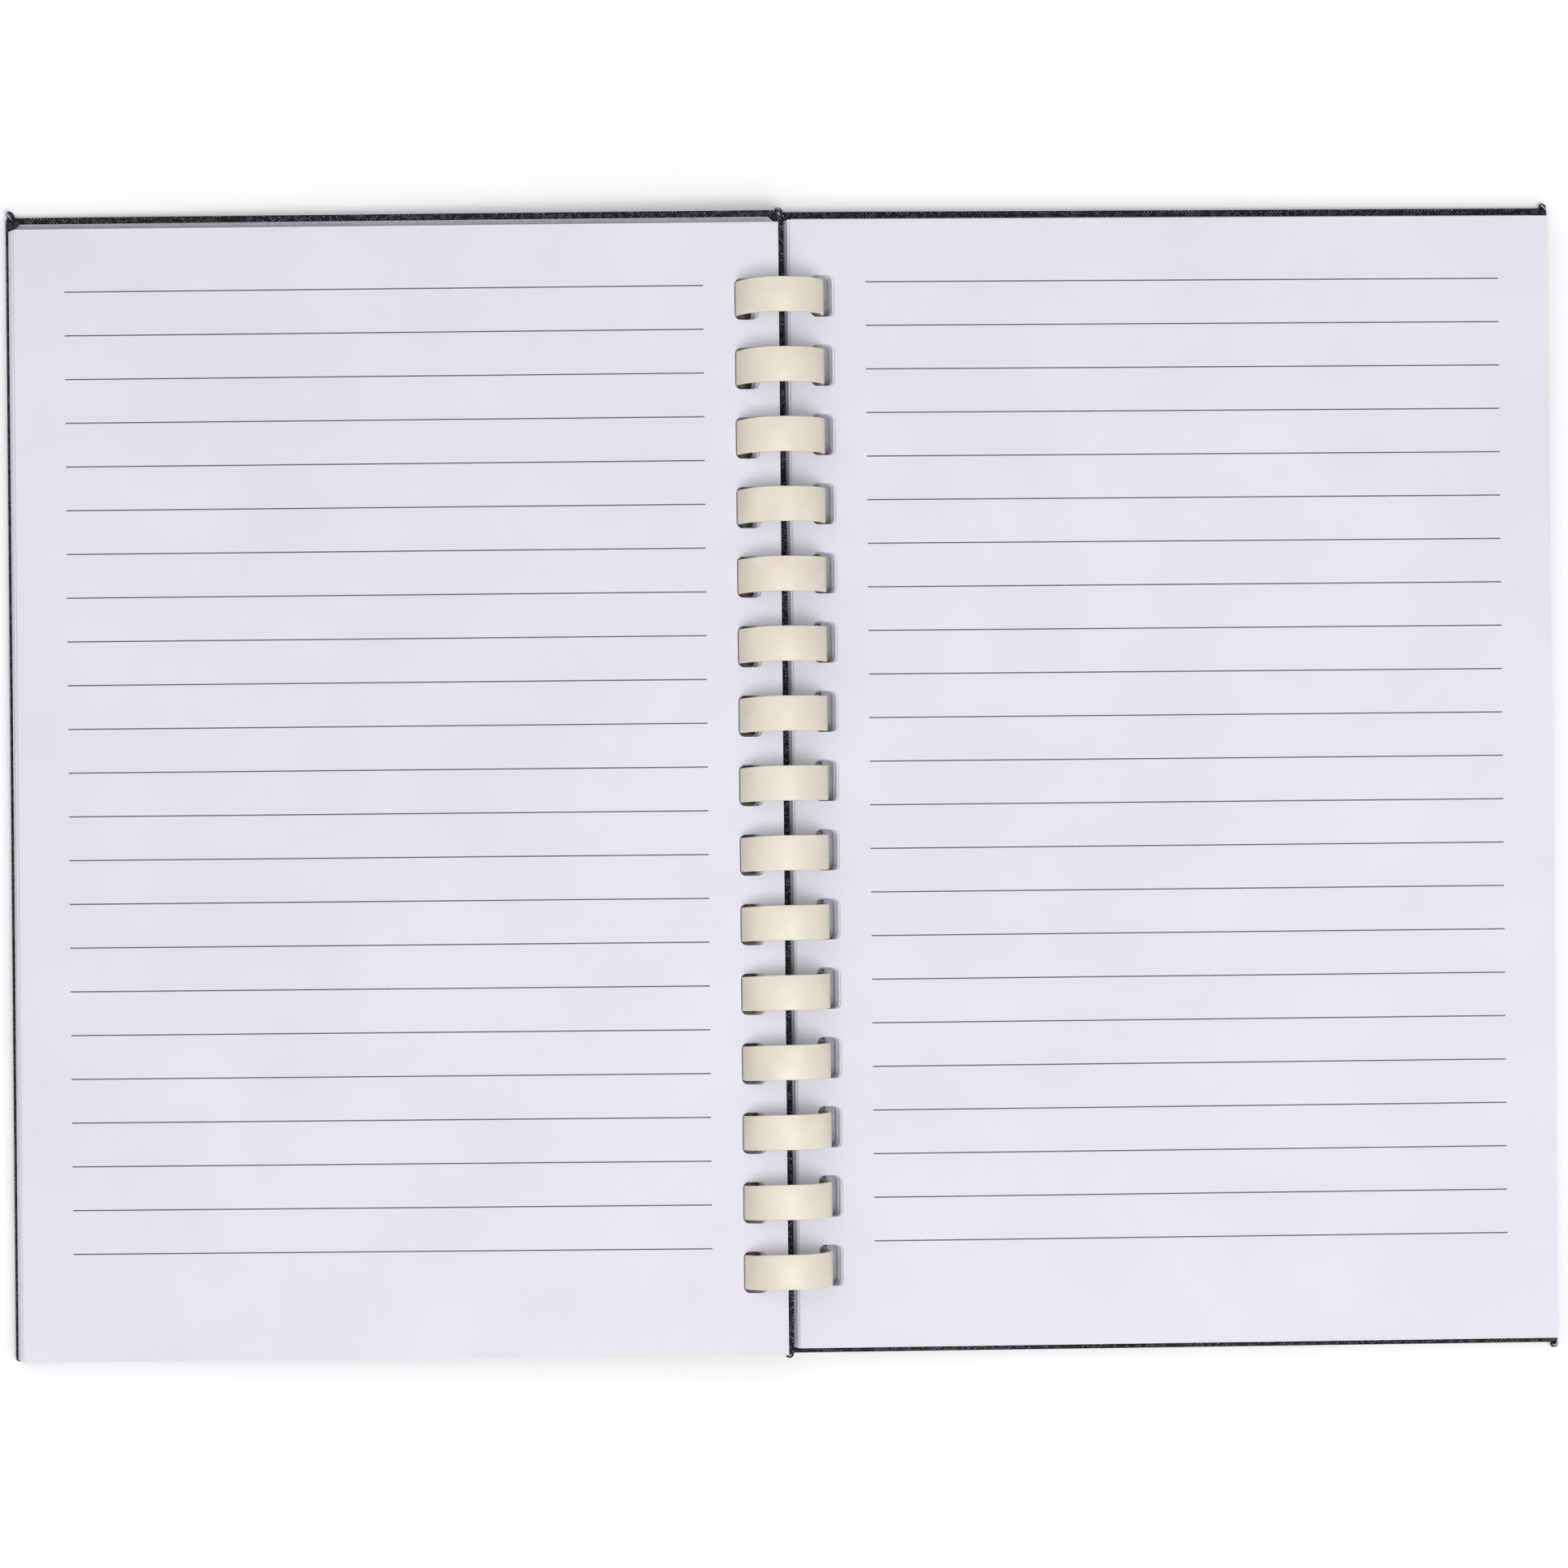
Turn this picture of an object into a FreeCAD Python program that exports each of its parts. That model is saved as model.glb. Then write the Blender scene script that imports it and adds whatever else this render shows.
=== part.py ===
import FreeCAD, Part
import Sketcher
import math
import os

# Open comb-bound notebook lying on its back, seen with the pages up.
# +X runs across both pages to the right, +Y to the head of the page and +Z up.
# The origin is on the table under the middle of the whole notebook.

V = FreeCAD.Vector

SIZES = (
    # Covers: a board wrapped in cloth, with a paper lining on its inside.
    ("cover_width", 143.0),
    ("cover_height", 210.2),
    ("board_thickness", 1.4),
    ("cloth_thickness", 0.22),
    ("turn_in", 15.0),
    ("lining_thickness", 0.16),
    ("lining_margin", 1.3),
    ("lining_corner", 1.5),
    ("cover_slot_width", 5.4),
    # Leaves: one loose stack on each cover, leaning as it slid. A square is how much
    # narrower or shorter than the cover they are.
    ("leaf_side_square", 3.1),
    ("leaf_end_square", 3.2),
    ("stack_thickness", 4.0),
    ("leaf_slot_width", 4.4),
    ("leaf_slot_reach", 4.5),
    ("leaf_slot_rise", 0.54),
    # Slots: what every punched layer shares with the comb.
    ("slot_height", 7.6),
    ("slot_corner", 0.9),
    # Comb: one curled strip, its band below and its tines through the slots.
    ("comb_radius", 8.2),
    ("comb_wall", 0.5),
    ("tine_count", 15),
    ("tine_end_margin", 14.6),
    ("tine_width", 6.4),
    ("tine_tuck", 0.35),
    ("tip_angle", 70.0),
    ("tip_corner", 1.8),
    ("band_near_angle", 28.0),
    ("band_far_angle", 117.0),
    ("root_corner", 0.7),
    # Where the halves lie. A start is measured from the comb's axis outward, a drop down
    # from it, and a slot's reach inward from the comb's radius to the slot's near side.
    ("comb_offset", -0.3),
    ("comb_shift", -0.16),
    ("front_cover_start", -0.93),
    ("front_cover_drop", 3.0),
    ("front_leaf_start", 0.87),
    ("front_leaf_lean", -0.8),
    ("front_leaf_shift", -1.1),
    ("front_slot_reach", 4.6),
    ("back_cover_start", -0.36),
    ("back_cover_drop", 6.45),
    ("back_leaf_start", 0.84),
    ("back_leaf_lean", 1.1),
    ("back_leaf_shift", -0.3),
    ("back_slot_reach", 6.5),
)

# How far an edge may be from the wall's thickness and still count as lying through it.
EDGE_TOLERANCE = 0.0001

doc = FreeCAD.newDocument("notebook")
sheet = doc.addObject("Spreadsheet::Sheet", "dims")
for row, (name, value) in enumerate(SIZES, 1):
    sheet.set("A%d" % row, name)
    sheet.set("B%d" % row, str(value))
    sheet.setAlias("B%d" % row, name)
doc.recompute()


def size(name):
    """The number in the sheet under this name."""
    return float(sheet.get(name))


# Sizes that follow from those in the sheet, as expressions.
COVER_THICKNESS = "(dims.board_thickness + 2 * dims.cloth_thickness + dims.lining_thickness)"
LEAF_WIDTH = "(dims.cover_width - dims.leaf_side_square)"
LEAF_HEIGHT = "(dims.cover_height - dims.leaf_end_square)"
TINE_ROW = "(%s - 2 * dims.tine_end_margin)" % LEAF_HEIGHT
TINE_PITCH = "(%s / (dims.tine_count - 1))" % TINE_ROW
FIRST_TINE = "(-%s / 2)" % TINE_ROW


def new_body(label, placement):
    """An empty body with its own label, laid where the placement expression puts it."""
    body = doc.addObject("PartDesign::Body", label)
    body.Label = label
    body.setExpression("Placement", placement)
    return body


def new_sketch(body, name, role, offset=("0", "0", "0")):
    """A sketch on one of the body's origin planes, shifted by three expressions."""
    plane = [item for item in body.Origin.OriginFeatures if item.Role == role][0]
    sketch = body.newObject("Sketcher::SketchObject", body.Label + "_" + name)
    sketch.AttachmentSupport = [(plane, "")]
    sketch.MapMode = "FlatFace"
    for axis, expression in zip("xyz", offset):
        sketch.setExpression("AttachmentOffset.Base." + axis, expression)
    return sketch


def bind(sketch, constraint, name, expression):
    """Adds a named dimension to the sketch and ties it to the sheet."""
    index = sketch.addConstraint(constraint)
    sketch.renameConstraint(index, name)
    sketch.setExpression("Constraints." + name, expression)


def draw_rectangle(sketch, width, height):
    """A rectangle about the sketch's own origin."""
    x, y = 10.0, 12.0
    corners = [V(-x, -y, 0), V(x, -y, 0), V(x, y, 0), V(-x, y, 0)]
    for n in range(4):
        sketch.addGeometry(Part.LineSegment(corners[n], corners[(n + 1) % 4]))
    for n in range(4):
        sketch.addConstraint(Sketcher.Constraint("Coincident", n, 2, (n + 1) % 4, 1))
        sketch.addConstraint(Sketcher.Constraint(("Horizontal", "Vertical")[n % 2], n))
    sketch.addConstraint(Sketcher.Constraint("Symmetric", 0, 1, 2, 1, -1, 1))
    bind(sketch, Sketcher.Constraint("DistanceX", 0, 1, 0, 2, 2 * x), "wide", width)
    bind(sketch, Sketcher.Constraint("DistanceY", 1, 1, 1, 2, 2 * y), "high", height)


def draw_cut_corner_rectangle(sketch, width, height, corner):
    """A rectangle about the sketch's own origin with its four corners cut at 45 degrees."""
    x, y, c = 10.0, 12.0, 1.5
    points = [V(c - x, -y, 0), V(x - c, -y, 0), V(x, c - y, 0), V(x, y - c, 0),
              V(x - c, y, 0), V(c - x, y, 0), V(-x, y - c, 0), V(-x, c - y, 0)]
    for n in range(8):
        sketch.addGeometry(Part.LineSegment(points[n], points[(n + 1) % 8]))
    for n in range(8):
        sketch.addConstraint(Sketcher.Constraint("Coincident", n, 2, (n + 1) % 8, 1))
    for n, kind in ((0, "Horizontal"), (2, "Vertical"), (4, "Horizontal"), (6, "Vertical")):
        sketch.addConstraint(Sketcher.Constraint(kind, n))
    sketch.addConstraint(Sketcher.Constraint("Symmetric", 0, 1, 4, 1, -1, 1))
    sketch.addConstraint(Sketcher.Constraint("Symmetric", 2, 1, 6, 1, -1, 1))
    bind(sketch, Sketcher.Constraint("DistanceX", 7, 1, 2, 1, 2 * x), "wide", width)
    bind(sketch, Sketcher.Constraint("DistanceY", 0, 1, 4, 1, 2 * y), "high", height)
    bind(sketch, Sketcher.Constraint("DistanceX", 1, 1, 1, 2, c), "foot_cut_wide", corner)
    bind(sketch, Sketcher.Constraint("DistanceY", 1, 1, 1, 2, c), "foot_cut_high", corner)
    bind(sketch, Sketcher.Constraint("DistanceX", 3, 2, 3, 1, c), "head_cut_wide", corner)
    bind(sketch, Sketcher.Constraint("DistanceY", 3, 1, 3, 2, c), "head_cut_high", corner)
    sketch.addConstraint(Sketcher.Constraint("Equal", 0, 4))
    sketch.addConstraint(Sketcher.Constraint("Equal", 2, 6))


def draw_slot(sketch, width, height, corner):
    """A rectangle about the sketch's own origin with four equal round corners."""
    x, y, r = 2.2, 4.0, 1.0
    lines = [(V(r - x, -y, 0), V(x - r, -y, 0)), (V(x, r - y, 0), V(x, y - r, 0)),
             (V(x - r, y, 0), V(r - x, y, 0)), (V(-x, y - r, 0), V(-x, r - y, 0))]
    centres = [V(x - r, r - y, 0), V(x - r, y - r, 0), V(r - x, y - r, 0), V(r - x, r - y, 0)]
    quarter = math.pi / 2
    for start, end in lines:
        sketch.addGeometry(Part.LineSegment(start, end))
    for n, centre in enumerate(centres):
        circle = Part.Circle(centre, V(0, 0, 1), r)
        sketch.addGeometry(Part.ArcOfCircle(circle, (n - 1) * quarter, n * quarter))
    for n in range(4):
        sketch.addConstraint(Sketcher.Constraint("Tangent", n, 2, n + 4, 1))
        sketch.addConstraint(Sketcher.Constraint("Tangent", n + 4, 2, (n + 1) % 4, 1))
        sketch.addConstraint(Sketcher.Constraint(("Horizontal", "Vertical")[n % 2], n))
    for n in range(5, 8):
        sketch.addConstraint(Sketcher.Constraint("Equal", 4, n))
    sketch.addConstraint(Sketcher.Constraint("Symmetric", 4, 3, 6, 3, -1, 1))
    bind(sketch, Sketcher.Constraint("Radius", 4, r), "corner", corner)
    bind(sketch, Sketcher.Constraint("DistanceX", 7, 3, 4, 3, 2 * (x - r)), "wide",
         "%s - 2 * %s" % (width, corner))
    bind(sketch, Sketcher.Constraint("DistanceY", 4, 3, 5, 3, 2 * (y - r)), "high",
         "%s - 2 * %s" % (height, corner))


def pad(body, sketch, name, length):
    """A prism over the sketch, along its normal."""
    feature = body.newObject("PartDesign::Pad", body.Label + "_" + name)
    feature.Profile = sketch
    feature.setExpression("Length", length)
    return feature


def pocket(body, sketch, name, length):
    """A cut from the sketch along its normal, which is into the piece above it."""
    feature = body.newObject("PartDesign::Pocket", body.Label + "_" + name)
    feature.Profile = sketch
    feature.Reversed = True
    feature.setExpression("Length", length)
    return feature


def repeat_along_height(body, feature, sketch):
    """Copies a cut once for each tine, from the foot of the page to its head."""
    pattern = body.newObject("PartDesign::LinearPattern", feature.Name + "_row")
    pattern.Originals = [feature]
    pattern.Direction = (sketch, ["V_Axis"])
    pattern.setExpression("Length", TINE_ROW)
    pattern.setExpression("Occurrences", "dims.tine_count")
    body.Tip = pattern
    return pattern


def lean_over(feature, lean):
    """Slants a pad or pocket, so that each sheet up the stack lies a little further out."""
    feature.UseCustomVector = True
    feature.Reversed = False
    feature.AlongSketchNormal = True
    feature.Direction = V(0, 0, 1)
    feature.setExpression("Direction.x", lean)
    feature.setExpression("Direction.z", "dims.stack_thickness")


class Half:
    """One cover with its leaves: which way it lies from the comb, and how it is tilted."""

    def __init__(self, name, way):
        self.name = name
        self.way = way
        start = "dims.%s_cover_start" % name
        lift = "(dims.comb_radius - dims.%s_cover_drop)" % name
        slot = "(dims.comb_radius - dims.%s_slot_reach)" % name
        self.cover_middle = "%d * (%s + dims.cover_width / 2)" % (way, start)
        self.cover_slot = "%d * (%s + dims.cover_slot_width / 2)" % (way, slot)
        tilt = "%d * asin(%s / (%s + dims.cover_width))" % (way, lift, start)
        self.place = "placement(vector(dims.comb_offset; 0; %s); rotation(0; %s; 0))" % (lift, tilt)
        self.leaf_lean = "%d * dims.%s_leaf_lean" % (way, name)
        edge = "%d * dims.%s_leaf_start" % (way, name)
        offset = "vector(%s; dims.%s_leaf_shift; %s)" % (edge, name, COVER_THICKNESS)
        self.leaf_place = "%s * placement(%s; rotation(0; 0; 0))" % (self.place, offset)


def punch_cover(body, half, length):
    """The row of slots through one layer of the cover."""
    sketch = new_sketch(body, "slot", "XY_Plane", (half.cover_slot, FIRST_TINE + " + dims.comb_shift", "0"))
    draw_rectangle(sketch, "dims.cover_slot_width", "dims.slot_height")
    repeat_along_height(body, pocket(body, sketch, "slot_cut", length), sketch)


def make_board(half):
    """The grey board that stiffens the cover, a plain slab inside its cloth."""
    body = new_body(half.name + "_board", half.place)
    sketch = new_sketch(body, "outline", "XY_Plane", (half.cover_middle, "0", "dims.cloth_thickness"))
    draw_rectangle(sketch, "dims.cover_width - 2 * dims.cloth_thickness",
                   "dims.cover_height - 2 * dims.cloth_thickness")
    pad(body, sketch, "slab", "dims.board_thickness")
    punch_cover(body, half, COVER_THICKNESS)
    return body


def make_cloth(half):
    """The cloth outside the board, carried round its edges and turned in over its inside."""
    body = new_body(half.name + "_cloth", half.place)
    outline = new_sketch(body, "outline", "XY_Plane", (half.cover_middle, "0", "0"))
    draw_rectangle(outline, "dims.cover_width", "dims.cover_height")
    pad(body, outline, "wrap", "dims.board_thickness + 2 * dims.cloth_thickness")
    window = new_sketch(body, "window", "XY_Plane", (half.cover_middle, "0", "dims.cloth_thickness"))
    draw_rectangle(window, "dims.cover_width - 2 * dims.turn_in", "dims.cover_height - 2 * dims.turn_in")
    pocket(body, window, "window_cut", COVER_THICKNESS)
    hollow = new_sketch(body, "hollow", "XY_Plane", (half.cover_middle, "0", "dims.cloth_thickness"))
    draw_rectangle(hollow, "dims.cover_width - 2 * dims.cloth_thickness",
                   "dims.cover_height - 2 * dims.cloth_thickness")
    pocket(body, hollow, "hollow_cut", "dims.board_thickness")
    punch_cover(body, half, COVER_THICKNESS)
    return body


def make_lining(half):
    """The lining paper: it fills the window between the turn-ins and laps over them."""
    body = new_body(half.name + "_lining", half.place)
    field = new_sketch(body, "field", "XY_Plane",
                       (half.cover_middle, "0", "dims.cloth_thickness + dims.board_thickness"))
    draw_rectangle(field, "dims.cover_width - 2 * dims.turn_in", "dims.cover_height - 2 * dims.turn_in")
    pad(body, field, "field_fill", "dims.cloth_thickness + dims.lining_thickness")
    outline = new_sketch(body, "outline", "XY_Plane",
                         (half.cover_middle, "0", "2 * dims.cloth_thickness + dims.board_thickness"))
    draw_cut_corner_rectangle(outline, "dims.cover_width - 2 * dims.lining_margin",
                              "dims.cover_height - 2 * dims.lining_margin", "dims.lining_corner")
    pad(body, outline, "sheet", "dims.lining_thickness")
    punch_cover(body, half, COVER_THICKNESS)
    return body


def make_leaves(half):
    """The punched leaves on one cover, as one slanted block with its slots."""
    body = new_body(half.name + "_leaves", half.leaf_place)
    outline = new_sketch(body, "outline", "XY_Plane", ("%d * %s / 2" % (half.way, LEAF_WIDTH), "0", "0"))
    draw_rectangle(outline, LEAF_WIDTH, LEAF_HEIGHT)
    lean_over(pad(body, outline, "stack", "dims.stack_thickness"), half.leaf_lean)
    slot_middle = "%d * (dims.comb_radius - dims.leaf_slot_reach + dims.leaf_slot_width / 2)" % half.way
    slot = new_sketch(body, "slot", "XY_Plane", (slot_middle, FIRST_TINE + " + dims.leaf_slot_rise", "0"))
    draw_slot(slot, "dims.leaf_slot_width", "dims.slot_height", "dims.slot_corner")
    cut = pocket(body, slot, "slot_cut", "dims.stack_thickness")
    lean_over(cut, half.leaf_lean)
    repeat_along_height(body, cut, slot)
    return body


def draw_arc(sketch, centre, radius, start, end):
    """An arc from one angle to another in degrees, anticlockwise, and its number."""
    circle = Part.Circle(centre, V(0, 0, 1), radius)
    return sketch.addGeometry(Part.ArcOfCircle(circle, math.radians(start), math.radians(end)))


def close_end(sketch, outer, outer_end, inner, inner_end, axis_point, angle, name):
    """A radial end face between two arcs, its slope towards the axis tied to the sheet."""
    start, end = sketch.getPoint(outer, outer_end), sketch.getPoint(inner, inner_end)
    line = sketch.addGeometry(Part.LineSegment(start, end))
    sketch.addConstraint(Sketcher.Constraint("Coincident", line, 1, outer, outer_end))
    sketch.addConstraint(Sketcher.Constraint("Coincident", line, 2, inner, inner_end))
    sketch.addConstraint(Sketcher.Constraint("PointOnObject", axis_point[0], axis_point[1], line))
    value = FreeCAD.Units.Quantity("%.6f deg" % size(angle))
    bind(sketch, Sketcher.Constraint("Angle", line, value), name, "dims.%s" % angle)


def draw_tine(sketch):
    """The curl of a tine: up from the band, over the crown and down inside the band again."""
    radius, wall, tuck = size("comb_radius"), size("comb_wall"), size("tine_tuck")
    near, tip = size("band_near_angle"), size("tip_angle")
    rise = draw_arc(sketch, V(0, 0, 0), radius, 90, 180 + near)
    rise_inner = draw_arc(sketch, V(0, 0, 0), radius - wall, 90, 180 + near)
    fall = draw_arc(sketch, V(0, tuck, 0), radius - tuck, tip - 180, 90)
    fall_inner = draw_arc(sketch, V(0, tuck, 0), radius - wall - tuck, tip - 180, 90)
    sketch.addConstraint(Sketcher.Constraint("Coincident", rise, 3, -1, 1))
    sketch.addConstraint(Sketcher.Constraint("Coincident", rise_inner, 3, -1, 1))
    sketch.addConstraint(Sketcher.Constraint("PointOnObject", fall, 3, -2))
    sketch.addConstraint(Sketcher.Constraint("Coincident", fall_inner, 3, fall, 3))
    sketch.addConstraint(Sketcher.Constraint("Tangent", rise, 1, fall, 2))
    sketch.addConstraint(Sketcher.Constraint("Tangent", rise_inner, 1, fall_inner, 2))
    bind(sketch, Sketcher.Constraint("Radius", rise, radius), "outside", "dims.comb_radius")
    bind(sketch, Sketcher.Constraint("Radius", rise_inner, radius - wall), "inside",
         "dims.comb_radius - dims.comb_wall")
    bind(sketch, Sketcher.Constraint("DistanceY", -1, 1, fall, 3, tuck), "tuck", "dims.tine_tuck")
    close_end(sketch, rise, 2, rise_inner, 2, (-1, 1), "band_near_angle", "root_slope")
    close_end(sketch, fall, 1, fall_inner, 1, (fall, 3), "tip_angle", "tip_slope")


def draw_band(sketch):
    """The band's section: a shallow trough under the comb's axis."""
    radius, wall = size("comb_radius"), size("comb_wall")
    near, far = size("band_near_angle"), size("band_far_angle")
    outer = draw_arc(sketch, V(0, 0, 0), radius, 180 + near, 180 + far)
    inner = draw_arc(sketch, V(0, 0, 0), radius - wall, 180 + near, 180 + far)
    sketch.addConstraint(Sketcher.Constraint("Coincident", outer, 3, -1, 1))
    sketch.addConstraint(Sketcher.Constraint("Coincident", inner, 3, -1, 1))
    bind(sketch, Sketcher.Constraint("Radius", outer, radius), "outside", "dims.comb_radius")
    bind(sketch, Sketcher.Constraint("Radius", inner, radius - wall), "inside",
         "dims.comb_radius - dims.comb_wall")
    close_end(sketch, outer, 1, inner, 1, (-1, 1), "band_near_angle", "near_slope")
    close_end(sketch, outer, 2, inner, 2, (-1, 1), "band_far_angle", "far_slope")


def wall_edges(shape, wanted):
    """Names of the straight edges as long as the wall whose middle passes the test."""
    names = []
    for n, edge in enumerate(shape.Edges, 1):
        through = abs(edge.Length - size("comb_wall")) < EDGE_TOLERANCE
        if through and edge.Curve.TypeId == "Part::GeomLine" and wanted(edge.CenterOfMass):
            names.append("Edge%d" % n)
    return names


def snip_corners(body, base, name, wanted, cut):
    """Cuts off at 45 degrees the wall-high corners of the feature that pass the test."""
    feature = body.newObject("PartDesign::Chamfer", body.Label + "_" + name)
    feature.Base = (base, wall_edges(base.Shape, wanted))
    feature.setExpression("Size", cut)
    body.Tip = feature
    return feature


def make_comb():
    """The comb: a moulded strip of one band with curled tines, heat-set round."""
    axis = "vector(dims.comb_offset; dims.comb_shift; dims.comb_radius)"
    body = new_body("comb", "placement(%s; rotation(0; 0; 0))" % axis)
    body.AllowCompound = True
    profile = new_sketch(body, "tine", "XZ_Plane", ("0", "0", TINE_ROW + " / 2"))
    draw_tine(profile)
    tine = pad(body, profile, "curl", "dims.tine_width")
    tine.SideType = "Symmetric"
    doc.recompute()
    snip_corners(body, tine, "tip", lambda at: at.z < -size("comb_radius") / 2, "dims.tip_corner")
    row = body.newObject("PartDesign::LinearPattern", "comb_row")
    row.TransformMode = "Whole shape"
    row.Direction = ([item for item in body.Origin.OriginFeatures if item.Role == "Y_Axis"][0], [""])
    row.setExpression("Length", TINE_ROW)
    row.setExpression("Occurrences", "dims.tine_count")
    body.Tip = row
    doc.recompute()
    trough = new_sketch(body, "band", "XZ_Plane")
    draw_band(trough)
    band = pad(body, trough, "spine", TINE_ROW + " + " + TINE_PITCH)
    band.SideType = "Symmetric"
    doc.recompute()
    ends = band.Length.Value / 2 - EDGE_TOLERANCE
    near = -size("comb_radius") / 2
    snip_corners(body, band, "root", lambda at: at.x < near and abs(at.y) < ends, "dims.root_corner")
    return body


def check_model(pieces):
    """Stops before anything is written if a feature failed or a piece isn't one sound solid."""
    for item in doc.Objects:
        if "Invalid" in item.State or "Error" in item.State:
            raise RuntimeError("%s failed: %s" % (item.Name, item.State))
    for piece in pieces:
        if piece.Shape.isNull() or not piece.Shape.isValid() or len(piece.Shape.Solids) != 1:
            raise RuntimeError("%s is not one sound solid" % piece.Label)


pieces = []
for half in (Half("front", -1), Half("back", 1)):
    pieces += [make_board(half), make_cloth(half), make_lining(half), make_leaves(half)]
pieces.append(make_comb())
doc.recompute()
check_model(pieces)

os.makedirs("parts", exist_ok=True)
for piece in pieces:
    piece.Shape.exportStep(os.path.join("parts", piece.Label + ".step"))
    box = piece.Shape.BoundBox
    print("%-14s volume %9.1f  x %7.2f to %7.2f  y %7.2f to %7.2f  z %6.3f to %6.3f" % (
        piece.Label, piece.Shape.Volume, box.XMin, box.XMax, box.YMin, box.YMax, box.ZMin, box.ZMax))
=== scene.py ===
import math

import bmesh
import bpy
import numpy as np
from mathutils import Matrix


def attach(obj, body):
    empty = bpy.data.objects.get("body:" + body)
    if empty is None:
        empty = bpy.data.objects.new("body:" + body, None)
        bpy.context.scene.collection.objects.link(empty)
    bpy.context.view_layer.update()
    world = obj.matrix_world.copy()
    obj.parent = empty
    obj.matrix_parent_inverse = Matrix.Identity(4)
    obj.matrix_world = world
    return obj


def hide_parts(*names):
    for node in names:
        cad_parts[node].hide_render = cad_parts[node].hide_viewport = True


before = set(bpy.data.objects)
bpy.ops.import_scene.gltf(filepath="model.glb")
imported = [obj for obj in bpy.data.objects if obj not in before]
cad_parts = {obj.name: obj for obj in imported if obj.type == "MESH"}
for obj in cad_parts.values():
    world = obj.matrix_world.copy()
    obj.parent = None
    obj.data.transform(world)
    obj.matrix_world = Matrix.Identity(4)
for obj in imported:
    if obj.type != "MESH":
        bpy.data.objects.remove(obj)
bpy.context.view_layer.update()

# Boards: grey pulp board 1.4 mm thick, cut a little smaller than the cover and punched with a row
# of slots. The cloth hides them, and they show only as the pale middle of the slots' walls.

BOARD_COLOUR = (128, 124, 118)
BOARD_FLECK = (92, 88, 84)
BOARD_ROUGHNESS = 0.9
BOARD_FIBRES = (2600.0, 4.0)
BOARD_FIBRE_RANGE = (0.35, 0.65)
BOARD_RELIEF = 0.00003


def tint(red, green, blue):
    """A screen colour as the linear numbers that a shader socket takes, by the sRGB formula."""
    shares = np.array([red, green, blue]) / 255
    linear = np.where(shares <= 0.04045, shares / 12.92, ((shares + 0.055) / 1.055) ** 2.4)
    return (*linear.tolist(), 1.0)


class Value:
    """A number that changes over a surface; arithmetic on it adds Math nodes."""

    def __init__(self, finish, socket):
        self.finish = finish
        self.socket = socket

    def math(self, operation, first, second=0.0):
        return self.finish.node("ShaderNodeMath", {"operation": operation}, {0: first, 1: second})

    def __add__(self, other):
        return self.math("ADD", self, other)

    def __sub__(self, other):
        return self.math("SUBTRACT", self, other)

    def __rsub__(self, other):
        return self.math("SUBTRACT", other, self)

    def __mul__(self, other):
        return self.math("MULTIPLY", self, other)

    def __gt__(self, other):
        return self.math("GREATER_THAN", self, other)

    def __lt__(self, other):
        return self.math("LESS_THAN", self, other)

    __radd__ = __add__
    __rmul__ = __mul__

    def sine(self):
        return self.math("SINE", self)

    def size(self):
        return self.math("ABSOLUTE", self)

    def fraction(self):
        return self.math("FRACT", self)

    def ramp(self, low, high):
        """Zero below the low number, one above the high one and straight between them."""
        inputs = {"Value": self, "From Min": low, "From Max": high}
        return self.finish.node("ShaderNodeMapRange", {"clamp": True}, inputs)


class Graph:
    """A node tree, with a method for each kind of node that the finishes use."""

    def __init__(self, tree):
        self.tree = tree

    def node(self, kind, settings=None, inputs=None, output=0):
        """Adds one node with its settings and inputs, and gives one of its outputs."""
        made = self.tree.nodes.new(kind)
        for name, value in (settings or {}).items():
            setattr(made, name, value)
        for name, value in (inputs or {}).items():
            if isinstance(value, Value):
                self.tree.links.new(value.socket, made.inputs[name])
            else:
                made.inputs[name].default_value = value
        return Value(self, made.outputs[output])

    def place(self):
        """Where a point is on the object, as a vector in metres."""
        return self.node("ShaderNodeTexCoord", output="Object")

    def parts(self, vector):
        """The three numbers of a vector."""
        split = self.tree.nodes.new("ShaderNodeSeparateXYZ")
        self.tree.links.new(vector.socket, split.inputs[0])
        return [Value(self, split.outputs[n]) for n in range(3)]

    def noise(self, vector, scale, detail=2.0, roughness=0.5):
        """A soft random number from zero to one."""
        inputs = {"Vector": vector, "Scale": scale, "Detail": detail, "Roughness": roughness}
        return self.node("ShaderNodeTexNoise", {}, inputs)

    def mix(self, factor, colour, other):
        """A blend of two colours."""
        return self.node("ShaderNodeMix", {"data_type": "RGBA"}, {0: factor, 6: colour, 7: other}, 2)


class Finish(Graph):
    """A material: one principled surface with its constants and the nodes that feed it."""

    def __init__(self, name, roughness, **constants):
        self.material = bpy.data.materials.new(name)
        self.material.use_nodes = True
        super().__init__(self.material.node_tree)
        self.surface = self.tree.nodes["Principled BSDF"]
        self.surface.inputs["Roughness"].default_value = roughness
        for socket, value in constants.items():
            self.surface.inputs[socket.replace("_", " ")].default_value = value

    def feed(self, socket, value):
        """Links a value into the surface's own socket."""
        self.tree.links.new(value.socket, self.surface.inputs[socket])

    def relief(self, height, distance, strength=1.0):
        """Feeds a height map in shares of a distance in metres to the surface's normal."""
        inputs = {"Height": height, "Distance": distance, "Strength": strength}
        self.feed("Normal", self.node("ShaderNodeBump", {}, inputs))


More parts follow.
